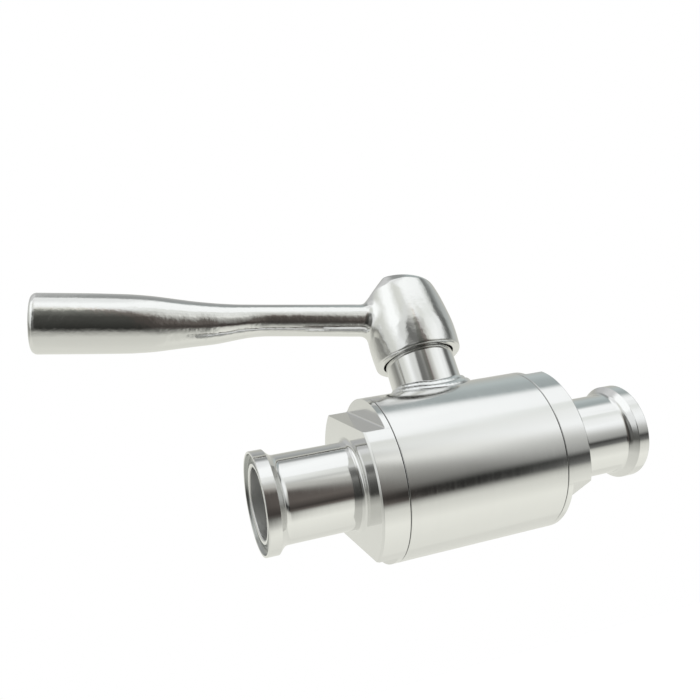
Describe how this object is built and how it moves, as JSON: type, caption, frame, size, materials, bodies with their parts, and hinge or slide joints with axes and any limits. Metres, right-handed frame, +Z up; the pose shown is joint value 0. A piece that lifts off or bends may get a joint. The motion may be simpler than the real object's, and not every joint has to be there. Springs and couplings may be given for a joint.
{
  "type": "hygienic ball valve",
  "caption": "Stainless hygienic full-bore ball valve with clamp ferrule ends, screwed end caps and a quarter-turn cast lever on a domed hub.",
  "frame": {"origin": "centre of the ball, where the pipe axis and the stem axis cross", "axes": "+X along the pipe axis towards the outlet, +Z up the stem towards the lever, +Y completes the frame; the lever lies towards -X when open"},
  "size_m": [0.2988, 0.0826, 0.1658],
  "materials": {
    "turned_stainless": "fine turned stainless steel, satin",
    "polished_stainless": "polished stainless steel",
    "cast_stainless": "polished stainless casting",
    "weld_metal": "dressed stainless weld",
    "ptfe": "smooth white fluoropolymer",
    "seal_rubber": "smooth black rubber"
  },
  "bodies": {
    "valve_body": {"body_barrel": "turned_stainless", "stem_neck": "polished_stainless", "neck_weld_bead": "weld_metal", "end_cap_inlet": "polished_stainless", "end_cap_outlet": "polished_stainless", "cap_gasket_inlet": "ptfe", "cap_gasket_outlet": "ptfe", "seat_inlet": "ptfe", "seat_outlet": "ptfe", "packing_base_ring": "ptfe", "packing_chevron_rings": "ptfe", "packing_gland": "turned_stainless", "stop_pin": "turned_stainless"},
    "stem_and_lever": {"stem": "turned_stainless", "stem_thrust_washer": "ptfe", "stem_o_ring": "seal_rubber", "disc_springs": "turned_stainless", "stop_plate": "turned_stainless", "gland_nut": "turned_stainless", "lock_washer": "turned_stainless", "handle_lever": "cast_stainless", "handle_washer": "turned_stainless", "handle_screw": "turned_stainless"},
    "ball": {"ball": "polished_stainless"}
  },
  "joints": [
    {"name": "handle_turn", "type": "hinge", "parent": "valve_body", "child": "stem_and_lever", "pos_m": [0, 0, 0], "axis": [0, 0, 1], "range_deg": [-90, 0]},
    {"name": "ball_turn", "type": "hinge", "parent": "valve_body", "child": "ball", "pos_m": [0, 0, 0], "axis": [0, 0, 1], "range_deg": [-90, 0]}
  ],
  "couplings": [
    {"joint": "ball_turn", "follows": "handle_turn", "ratio": 1}
  ]
}
